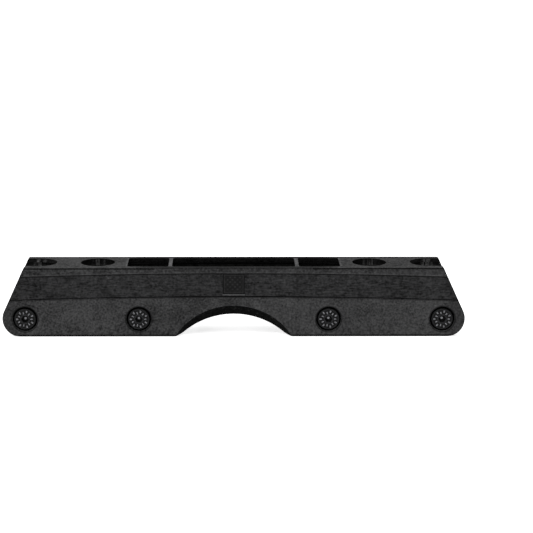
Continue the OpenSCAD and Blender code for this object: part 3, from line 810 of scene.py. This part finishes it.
def pale_floor(s):
    """Matt pale paint with faint duller patches, which glows a little so that shadows stay light."""
    finish = Finish("pale_floor")
    cloud = finish.noise(s.floor_cloud, MORE_LAYERS)
    tone = finish.mix(s.floor_paint, s.floor_patch, s.patch_share + cloud * s.patch_spread)
    return finish.surface(Base_Color=tone, Roughness=s.floor_roughness + cloud * s.rough_spread,
                          Specular_IOR_Level=s.floor_specular, Emission_Color=s.floor_paint,
                          Emission_Strength=s.floor_glow)


def shared(maker, s):
    """A material that several operators use, made once."""
    return bpy.data.materials.get(maker.__name__) or maker(s)


def piece(name, mesh, body, slot, material, *replaced):
    """Puts a finished mesh into the scene on its body, in place of the nodes that it stands for."""
    made = bpy.data.objects.new(name, mesh)
    bpy.context.scene.collection.objects.link(made)
    mesh.materials.append(material)
    mesh.polygons.foreach_set("use_smooth", np.ones(len(mesh.polygons), dtype=bool))
    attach(made, body)
    if replaced:
        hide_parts(*replaced)
    return made


def skin(name, points, outward, closed_rows=False, first_pole=None, last_pole=None):
    """Mesh over a grid of points of shape (rows, columns, 3), whose columns close on themselves.

    Each cell of the grid is a quad. closed_rows joins the last row to the first. A pole is a point that
    closes the first or last row with a fan of triangles. outward turns the faces round where it is -1.
    """
    rows, columns = points.shape[:2]
    index = np.arange(rows * columns).reshape(rows, columns)
    if closed_rows:
        index = np.concatenate([index, index[:1]])
    ahead = np.roll(index, -1, axis=1)
    quads = np.stack([index[:-1], index[1:], ahead[1:], ahead[:-1]], axis=-1).reshape(-1, 4)
    faces = quads[:, ::outward].tolist()
    corners = points.reshape(-1, 3)
    for pole, near, far in ((first_pole, index[0], ahead[0]), (last_pole, ahead[-1], index[-1])):
        if pole is not None:
            fan = np.stack([np.full(columns, len(corners)), near, far], axis=-1)
            faces += fan[:, ::outward].tolist()
            corners = np.concatenate([corners, [pole]])
    mesh = bpy.data.meshes.new(name)
    mesh.from_pydata(corners, [], faces)
    mesh.validate()
    return mesh


def around(points):
    """Angles of a number of points spread evenly around a circle."""
    return np.arange(points) * FULL_TURN / points


def hexagon(turn, flats):
    """Radius of a hexagon at each angle: half its width across the flats over the cosine of the angle from
    the middle of the nearest flat. A corner lies at angle 0."""
    sector = FULL_TURN / HEX_SIDES
    return flats / 2 / np.cos(turn % sector - sector / 2)


def hex_corner(flats):
    """Radius of a hexagon's corners: its width across the flats over the square root of 3."""
    return flats / math.sqrt(3)


def thread(turn, depth, pitch):
    """Saw-toothed helix: 0 on the crests, 1 in the grooves, one pitch further along for each full turn."""
    return 1 - np.abs(2 * ((depth / pitch - turn / FULL_TURN) % 1) - 1)


class Turned:
    """Half of an axle as rows of points around its axis, from its socket to its inner end.

    A row holds depth, radius and brightness at each angle. Depth runs inwards from the tops of the grip
    bars. The half's length and its head's radius come from the box of its node.
    """

    def __init__(self, s, node):
        low, high = np.array(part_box(node))
        self.s = s
        self.turn = around(s.bars * POINTS_PER_BAR)
        self.rows = []
        self.low = low
        self.high = high
        self.length = high[1] - low[1]
        self.radius = (high[0] - low[0]) / 2
        self.underside = s.bar_height + s.head_thickness
        self.socket()
        self.ring()
        self.rim()

    def row(self, depth, radius, bright):
        """Adds a row; each value is one number or an array over the angles."""
        self.rows.append([part * np.ones_like(self.turn) for part in (depth, radius, bright)])

    def socket(self):
        """A hex socket whose floor is a paraboloid, with a painted highlight of bare steel in its middle,
        walls and floor in painted shade, a chamfer and a land that blends the hexagon into a circle."""
        s = self.s
        face = s.bar_height
        floor = face + s.socket_depth
        flats = hexagon(self.turn, s.socket_flats)
        # The bare spot in the middle is a painted highlight
        for part in (s.spot_share / 2, s.spot_share):
            self.row(floor - s.socket_dish * part ** 2, flats * part, s.spot_shine)
        # The rest of the socket's floor and its walls are in painted shade
        for part in np.linspace(s.spot_share + s.spot_edge, 1, SOCKET_ROWS):
            self.row(floor - s.socket_dish * part ** 2, flats * part, SHADED)
        self.row(face + 2 * s.socket_break, flats, SHADED)
        self.row(face + s.socket_break, flats, SHADED)
        self.row(face + s.crisp, flats + s.socket_break - s.crisp, s.land_shine)
        self.row(face, flats + s.socket_break, s.land_shine)
        self.row(face, (flats + self.land()) / 2, s.land_shine)

    def land(self):
        """Radius of the plain ring around the socket."""
        return hex_corner(self.s.socket_flats) + self.s.socket_land

    def ring(self):
        """A sunk ring with grip bars, which lie nearer the socket and nearer the rim by turns.

        A bar lifts the ring's floor to the bars' tops. It is a quarter of its sector wide on each side of
        the sector's middle, with one point of slope, and takes its share of the ring's width.
        """
        s = self.s
        floor = s.bar_height + s.ring_depth
        inside = self.land()
        outside = self.radius - s.rim
        sector = FULL_TURN / s.bars
        from_bar = np.abs((self.turn + sector / 2) % sector - sector / 2)
        in_bar = np.clip((sector / 4 - from_bar) * POINTS_PER_BAR / sector, 0, 1)
        inner_bar = np.floor(self.turn / sector + 1 / 2) % 2 == 0
        self.row(s.bar_height, inside - s.slope, s.land_shine)
        self.row(s.bar_height + s.crisp, inside, s.land_shine)
        # The ring's floor is in painted shade
        self.row(floor, inside + s.slope, SHADED)
        self.row(floor, inside + 2 * s.slope, SHADED)
        places = np.linspace(inside + 3 * s.slope, outside - 3 * s.slope, RING_ROWS)
        for place, part in zip(places, np.linspace(0, 1, RING_ROWS)):
            standing = in_bar * np.where(inner_bar, part < s.bar_share, part > 1 - s.bar_share)
            self.row(floor * (1 - standing), place, SHADED + (s.bar_shine - SHADED) * standing)
        self.row(floor, outside - 2 * s.slope, SHADED)
        self.row(floor, outside - s.slope, SHADED)
        self.row(s.bar_height + s.crisp, outside, s.rim_shine)
        self.row(s.bar_height, outside + s.slope, s.rim_shine)

    def rim(self):
        """The head's rim, rounded over a quarter circle and darker outwards into painted shade, its side
        and its underside, which are in painted shade.
        """
        s = self.s
        for part in np.linspace(0, 1, ROUND_ROWS):
            bend = part * QUARTER_TURN
            self.row(s.bar_height + s.head_round * (1 - math.cos(bend)),
                     self.radius - s.head_round * (1 - math.sin(bend)),
                     s.rim_shine + (SHADED - s.rim_shine) * part)
        self.row(self.underside - 3 * s.slope, self.radius, SHADED)
        self.row(self.underside - s.slope, self.radius, SHADED)
        self.row(self.underside, self.radius - s.slope, SHADED)

    def bolt(self):
        """Adds a bolt's filleted neck, chamfered tip and helical thread, which deepens over one pitch."""
        s = self.s
        root = s.bolt_radius - s.thread_depth
        start = self.length - s.thread_reach
        stop = self.length - s.tip
        self.row(self.underside, s.bolt_radius + s.fillet, s.neck_shine)
        self.row(self.underside + s.fillet, s.bolt_radius, s.thread_shine)
        for depth in np.linspace(start, stop, round((stop - start) / s.pitch * ROWS_PER_PITCH)):
            groove = thread(self.turn, depth, s.pitch) * min((depth - start) / s.pitch, 1)
            bright = s.thread_shine - groove * s.groove_dull
            self.row(depth, s.bolt_radius - groove * s.thread_depth, bright)
        self.row(self.length, root - s.chamfer, s.thread_shine)
        self.row(self.length, root / 2, s.thread_shine)

    def sleeve(self):
        """Adds a sleeve's filleted neck, ground tube, chamfered end and blind bore, whose helical thread
        fades over its last pitch before the plain bottom."""
        s = self.s
        bottom = self.length - s.bore_depth
        self.row(self.underside, s.sleeve_radius + s.fillet, s.neck_shine)
        self.row(self.underside + s.fillet, s.sleeve_radius, s.tube_shine)
        for depth in np.linspace(self.underside + s.fillet, self.length - s.chamfer, TUBE_ROWS)[1:]:
            self.row(depth, s.sleeve_radius, s.tube_shine)
        self.row(self.length, s.sleeve_radius - s.chamfer, s.tube_shine)
        self.row(self.length, s.bore_radius + s.chamfer, s.tube_shine)
        mouth = self.length - s.chamfer
        end = bottom + s.bore_runout
        for depth in np.linspace(mouth, end, round((mouth - end) / s.pitch * ROWS_PER_PITCH)):
            groove = thread(self.turn, depth, s.pitch) * min((depth - end) / s.pitch, 1)
            self.row(depth, s.bore_radius + groove * s.thread_depth, s.bore_shine)
        self.row(bottom, s.bore_radius, s.bore_shine)
        self.row(bottom, s.bore_radius / 2, s.bore_shine)

    def mesh(self, name, side):
        """Mesh of the rows. About the node's axis a point is (r cos t, outer face, r sin t), moved inwards
        by its depth. The brightness of each row becomes the mesh's own attribute."""
        middle = (self.low + self.high) / 2
        outer = self.low[1] if side == NEAR_SIDE else self.high[1]
        depth, radius, bright = np.array(self.rows).transpose(1, 0, 2)
        points = np.stack([middle[0] + radius * np.cos(self.turn),
                           outer - side * depth,
                           middle[2] + radius * np.sin(self.turn)], axis=-1)
        poles = [(middle[0], outer - side * depth[row].mean(), middle[2]) for row in (0, -1)]
        mesh = skin(name, points, -side, first_pole=poles[0], last_pole=poles[1])
        shine = np.concatenate([bright.reshape(-1), [bright[0, 0], bright[-1, 0]]])
        mesh.attributes.new("bright", "FLOAT", "POINT").data.foreach_set("value", shine)
        return mesh


def nut_mesh(name, node, s):
    """A hex nut as a closed ring of rows: the bore's thread, the end faces and the hexagon's flats.

    The end faces are flat out to a circle. From there a cone falls to the hexagon, so a flat is lower at
    its corners. The fall is the distance past that circle times the tangent of the chamfer's angle.
    """
    low, high = np.array(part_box(node))
    middle = (low + high) / 2
    thick = high[2] - low[2]
    turn = around(HEX_SIDES * POINTS_PER_FLAT)
    flat = np.ones_like(turn)
    flats = hexagon(turn, s.flats)
    circle = hex_corner(s.flats) - s.corner_break
    fall = np.clip(flats - circle, 0, None) * math.tan(s.chamfer_angle)
    inside = np.minimum(flats - s.crisp, circle)
    mouth = s.thread_radius + s.countersink
    between = (mouth + inside) / 2
    threaded = thick - 2 * s.countersink
    levels = np.linspace(s.countersink, thick - s.countersink, round(threaded / s.pitch * ROWS_PER_PITCH))
    rows = [(level, s.thread_radius + s.thread_depth * thread(turn, level, s.pitch)) for level in levels]
    rows += [(thick, mouth), (thick, between), (thick, inside), (thick - fall, flats),
             (fall, flats), (0, inside), (0, between), (0, mouth)]
    points = np.array([np.stack([middle[0] + radius * np.cos(turn), middle[1] + radius * np.sin(turn),
                                 (low[2] + level) * flat], axis=-1) for level, radius in rows])
    return skin(name, points, 1, closed_rows=True)


def panel_floor(s, bay, middle_x, span, side):
    """Lower and upper (y, z) edge of a sunk panel's floor, read from the body's own mesh.

    The wall's corners at both ends of the panel on that side are those of its floor and its rim. At the
    lowest and at the highest of them, the floor's is the one nearer the middle plane.
    """
    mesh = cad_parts["frame_body"].data
    corners = np.empty(len(mesh.vertices) * 3)
    mesh.vertices.foreach_get("co", corners)
    corners = corners.reshape(-1, 3)
    at_end = np.abs(np.abs(corners[:, 0] - middle_x) - span / 2) < s.touch
    found = corners[at_end & (corners[:, 1] * side > bay)]
    edges = []
    for level in (found[:, 2].min(), found[:, 2].max()):
        near = found[np.abs(found[:, 2] - level) < s.level_room]
        edges.append(near[np.argmin(near[:, 1] * side)][1:])
    return edges


def plate_mesh(name, s, bay, middle_x, span, side, dotted):
    """A bare plate in a sunk panel: a flat face in a sunk seam, with a raised border, dotted or plain.

    The height depends on the distance to the nearest edge of the panel. It is the seam's up to the seam's
    width, then the border's, and then the face's. The dots are the positive part of cos(x) cos(y), which is
    a chequer of round bumps. The attribute raised is -1 in the seam, 0 on the face and 1 on what stands up.
    """
    lower, upper = panel_floor(s, bay, middle_x, span, side)
    tall = np.hypot(*(upper - lower))
    up = (upper - lower) / tall
    out = np.array([up[1], -up[0]]) * side
    columns = np.linspace(0, span, round(span / s.cell))
    lines = np.linspace(0, tall, round(tall / s.cell))
    across, along = np.meshgrid(columns, lines)
    edge = np.minimum(np.minimum(across, span - across), np.minimum(along, tall - along))
    face = np.clip((edge - s.seam) / s.slope, 0, 1)
    border = face * np.clip((s.seam + s.border - edge) / s.slope, 0, 1)
    wave = math.pi / s.dot_step
    dots = np.clip(np.cos(wave * across) * np.cos(wave * along), 0, 1)
    bumps = np.maximum(border, dots * (edge > s.seam + 2 * s.border) * dotted)
    height = s.seam_rise + (s.face_rise - s.seam_rise) * face + s.relief * bumps
    points = np.stack([middle_x - span / 2 + across,
                       lower[0] + along * up[0] + height * out[0],
                       lower[1] + along * up[1] + height * out[1]], axis=-1)
    index = np.arange(across.size).reshape(across.shape)
    quads = np.stack([index[:-1, :-1], index[:-1, 1:], index[1:, 1:], index[1:, :-1]], axis=-1)
    quads = quads.reshape(-1, 4)
    mesh = bpy.data.meshes.new(name)
    mesh.from_pydata(points.reshape(-1, 3), [], quads[:, ::-side].tolist())
    raised = (face - 1 + bumps).reshape(-1)
    mesh.attributes.new("raised", "FLOAT", "POINT").data.foreach_set("value", raised)
    return mesh


def sharp_runs(shape, s):
    """Groups the sharp edges of a bmesh into runs that bend little from one edge to the next.

    Returns a table from each sharp edge to the first edge of its run.
    """
    sharp = {edge for edge in shape.edges if edge.calc_face_angle(0.0) > s.sharp_angle}
    run = {}
    for first in shape.edges:
        if first not in sharp or first in run:
            continue
        run[first] = first
        waiting = [first]
        while waiting:
            edge = waiting.pop()
            for corner in edge.verts:
                ahead = corner.co - edge.other_vert(corner).co
                for other in corner.link_edges:
                    onward = other.other_vert(corner).co - corner.co
                    if other in sharp and other not in run and ahead.angle(onward, 0.0) < s.run_bend:
                        run[other] = first
                        waiting.append(other)
    return run


def room_of_runs(shape, run):
    """Least distance across a face from each run of sharp edges to another that it doesn't meet there."""
    room = dict.fromkeys(run.values(), math.inf)
    for face in shape.faces:
        rim = [edge for edge in face.edges if edge in run]
        for edge, other in permutations(rim, 2):
            if run[edge] is run[other] or set(edge.verts) & set(other.verts):
                continue
            start, stop = (corner.co for corner in edge.verts)
            first, last = (corner.co for corner in other.verts)
            for part in ROOM_SAMPLES:
                spot = start.lerp(stop, part)
                nearest = min(max(intersect_point_line(spot, first, last)[1], 0.0), 1.0)
                gap = (spot - first.lerp(last, nearest)).length
                room[run[edge]] = min(room[run[edge]], gap)
    return room


def rounded_body(name, node, s):
    """A merged copy of a node's mesh whose rounded edges have weights for the Bevel modifier.

    The walls' convex edges are rounded. Inside corners, tight corners, the edges of narrow faces and all
    edges between the walls stay sharp, as the mould's cores leave them.
    """
    shape = bmesh.new()
    shape.from_mesh(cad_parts[node].data)
    bmesh.ops.remove_doubles(shape, verts=shape.verts, dist=s.merge)
    bmesh.ops.dissolve_limit(shape, angle_limit=s.flat_angle, verts=shape.verts, edges=shape.edges)
    weight = shape.edges.layers.float.new("bevel_weight_edge")
    run = sharp_runs(shape, s)
    room = room_of_runs(shape, run)
    tight = {edge for face in shape.faces for loop in face.loops if loop.calc_angle() < s.tight_corner
             for edge in (loop.edge, loop.link_loop_prev.edge)}
    for edge in run:
        first, last = edge.verts
        on_wall = abs(first.co.y + last.co.y) / 2 > s.bay - s.bay_room
        rounded = on_wall and edge.is_convex and edge not in tight and room[run[edge]] >= s.least_room
        edge[weight] = float(rounded)
        edge.smooth = rounded
    mesh = bpy.data.meshes.new(name)
    shape.to_mesh(mesh)
    shape.free()
    return mesh


def make_halves(context, kind, finish_half, side):
    """Makes one half of each of the four axles: a head, which finish_half carries on to the inner end."""
    s = context.scene.skate_axles
    steel = shared(blackened_steel, s)
    for i in AXLES:
        node = f"axle_{kind}_{i}"
        name = f"threaded_{kind}_{i}"
        half = Turned(s, node)
        finish_half(half)
        piece(name, half.mesh(name, side), f"{kind}_{i}", "axle", steel, node)


def lay_floor(s):
    """A round floor: rings of points whose radii grow by a steady factor from the middle outwards."""
    turn = around(FLOOR_POINTS)
    radius = np.geomspace(s.floor_middle, s.floor_radius, FLOOR_RINGS)[:, None]
    level = CAD_BOX[0][2] - s.floor_gap
    points = np.stack([radius * np.cos(turn), radius * np.sin(turn),
                       np.full_like(radius * turn, level)], axis=-1)
    mesh = skin("studio_floor", points, 1, first_pole=(0.0, 0.0, level))
    mesh.materials.append(pale_floor(s))
    floor = bpy.data.objects.new("studio_floor", mesh)
    bpy.context.scene.collection.objects.link(floor)


def add_lamp(scene, name, strength, spread, tilt, turn):
    """A far lamp that looks straight down until it is leant over and turned."""
    lamp = bpy.data.lights.new(name, "SUN")
    lamp.energy = strength
    lamp.angle = spread
    holder = bpy.data.objects.new(name, lamp)
    holder.rotation_euler = (tilt, 0.0, turn)
    scene.collection.objects.link(holder)


def set_light(scene, s):
    """An even sky and two broad soft lamps, one high in front and one behind, seen without tone mapping."""
    scene.view_settings.view_transform = "Standard"
    world = bpy.data.worlds.new("studio")
    scene.world = world
    world.use_nodes = True
    backdrop = world.node_tree.nodes["Background"]
    backdrop.inputs["Color"].default_value = opaque(s.sky_colour)
    backdrop.inputs["Strength"].default_value = s.sky
    add_lamp(scene, "key_lamp", s.key, s.key_spread, s.key_tilt, s.key_turn)
    add_lamp(scene, "back_lamp", s.back, s.back_spread, s.back_tilt, s.back_turn)


def aim_camera(scene, s):
    """A camera on a sphere about the frame's middle, with the picture shifted around the frame."""
    camera = bpy.data.cameras.new("camera")
    camera.lens = s.lens
    camera.shift_x = s.shift_x
    camera.shift_y = s.shift_y
    camera.clip_end = s.sight
    holder = bpy.data.objects.new("camera", camera)
    level_part = math.cos(s.elevation)
    back = Vector((math.sin(s.azimuth) * level_part,
                   -math.cos(s.azimuth) * level_part,
                   math.sin(s.elevation)))
    holder.location = Vector((0.0, 0.0, s.aim_height)) + back * s.distance
    holder.rotation_euler = back.to_track_quat("Z", "Y").to_euler()
    scene.collection.objects.link(holder)
    scene.camera = holder


class SKATE_OT_body(bpy.types.Operator):
    """Finish the moulded body with rounded edges and nylon"""

    bl_idname = "skate_frame.body"
    bl_label = "Moulded body"

    def execute(self, context):
        s = context.scene.skate_body
        nylon = moulded_nylon(s, context.scene.skate_nylon, context.scene.skate_plates)
        mesh = rounded_body("moulded_body", "frame_body", s)
        body = piece("moulded_body", mesh, "frame", "frame_body", nylon, "frame_body")
        bevel = body.modifiers.new("edge rounds", "BEVEL")
        bevel.limit_method = "WEIGHT"
        bevel.width = s.edge_radius
        bevel.segments = s.edge_segments
        bevel.use_clamp_overlap = False
        bevel.loop_slide = False
        normals = body.modifiers.new("face normals", "WEIGHTED_NORMAL")
        normals.keep_sharp = True
        return {"FINISHED"}


class SKATE_OT_bolts(bpy.types.Operator):
    """Make the four axle bolts on the near side"""

    bl_idname = "skate_frame.bolts"
    bl_label = "Axle bolts"

    def execute(self, context):
        make_halves(context, "bolt", Turned.bolt, NEAR_SIDE)
        return {"FINISHED"}


class SKATE_OT_sleeves(bpy.types.Operator):
    """Make the four axle sleeves on the far side"""

    bl_idname = "skate_frame.sleeves"
    bl_label = "Axle sleeves"

    def execute(self, context):
        make_halves(context, "sleeve", Turned.sleeve, FAR_SIDE)
        return {"FINISHED"}


class SKATE_OT_nuts(bpy.types.Operator):
    """Make the two captive mounting nuts"""

    bl_idname = "skate_frame.nuts"
    bl_label = "Mounting nuts"

    def execute(self, context):
        s = context.scene.skate_nuts
        zinc = zinc_plate(s)
        for end in ENDS:
            node = f"mount_nut_{end}"
            name = f"hex_nut_{end}"
            piece(name, nut_mesh(name, node, s), "frame", "nut", zinc, node)
        return {"FINISHED"}


class SKATE_OT_plates(bpy.types.Operator):
    """Make the bare plates in the sunk panels"""

    bl_idname = "skate_frame.plates"
    bl_label = "Sunk plates"

    def execute(self, context):
        s = context.scene.skate_plates
        nylon = context.scene.skate_nylon
        bay = context.scene.skate_body.bay
        badge = plate_mesh("badge_plate", s, bay, 0.0, s.badge_length, NEAR_SIDE, True)
        label = plate_mesh("label_plate", s, bay, -s.label_place, s.label_length, FAR_SIDE, False)
        for mesh, tint in ((badge, s.badge), (label, s.label)):
            made = piece(mesh.name, mesh, "frame", "frame_body", plate_nylon(mesh.name, tint, nylon, s))
            shell = made.modifiers.new("thickness", "SOLIDIFY")
            shell.thickness = s.thickness
            shell.offset = INWARDS
        return {"FINISHED"}


class SKATE_OT_stage(bpy.types.Operator):
    """Set up the floor, the soft light and the camera"""

    bl_idname = "skate_frame.stage"
    bl_label = "Stage"

    def execute(self, context):
        s = context.scene.skate_stage
        lay_floor(s)
        set_light(context.scene, s)
        aim_camera(context.scene, s)
        return {"FINISHED"}


class SKATE_PT_panel(bpy.types.Panel):
    """Lists the steps that dress the skate frame"""

    bl_idname = "SKATE_PT_panel"
    bl_label = "Skate Frame"
    bl_space_type = "VIEW_3D"
    bl_region_type = "UI"
    bl_category = "Skate Frame"

    def draw(self, context):
        for operator in OPERATORS:
            self.layout.operator(operator.bl_idname)


OPERATORS = (SKATE_OT_body, SKATE_OT_bolts, SKATE_OT_sleeves, SKATE_OT_nuts, SKATE_OT_plates,
             SKATE_OT_stage)
SETTINGS = {"skate_body": BodySettings, "skate_nylon": NylonSettings, "skate_axles": AxleSettings,
            "skate_nuts": NutSettings, "skate_plates": PlateSettings, "skate_stage": StageSettings}
CLASSES = (*SETTINGS.values(), *OPERATORS, SKATE_PT_panel)


def register():
    for item in CLASSES:
        bpy.utils.register_class(item)
    for name, group in SETTINGS.items():
        setattr(bpy.types.Scene, name, PointerProperty(type=group))


def unregister():
    for name in SETTINGS:
        delattr(bpy.types.Scene, name)
    for item in reversed(CLASSES):
        bpy.utils.unregister_class(item)


def main():
    """Registers the add-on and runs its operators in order."""
    register()
    bpy.ops.skate_frame.body()
    bpy.ops.skate_frame.bolts()
    bpy.ops.skate_frame.sleeves()
    bpy.ops.skate_frame.nuts()
    bpy.ops.skate_frame.plates()
    bpy.ops.skate_frame.stage()


if __name__ == "__main__":
    main()
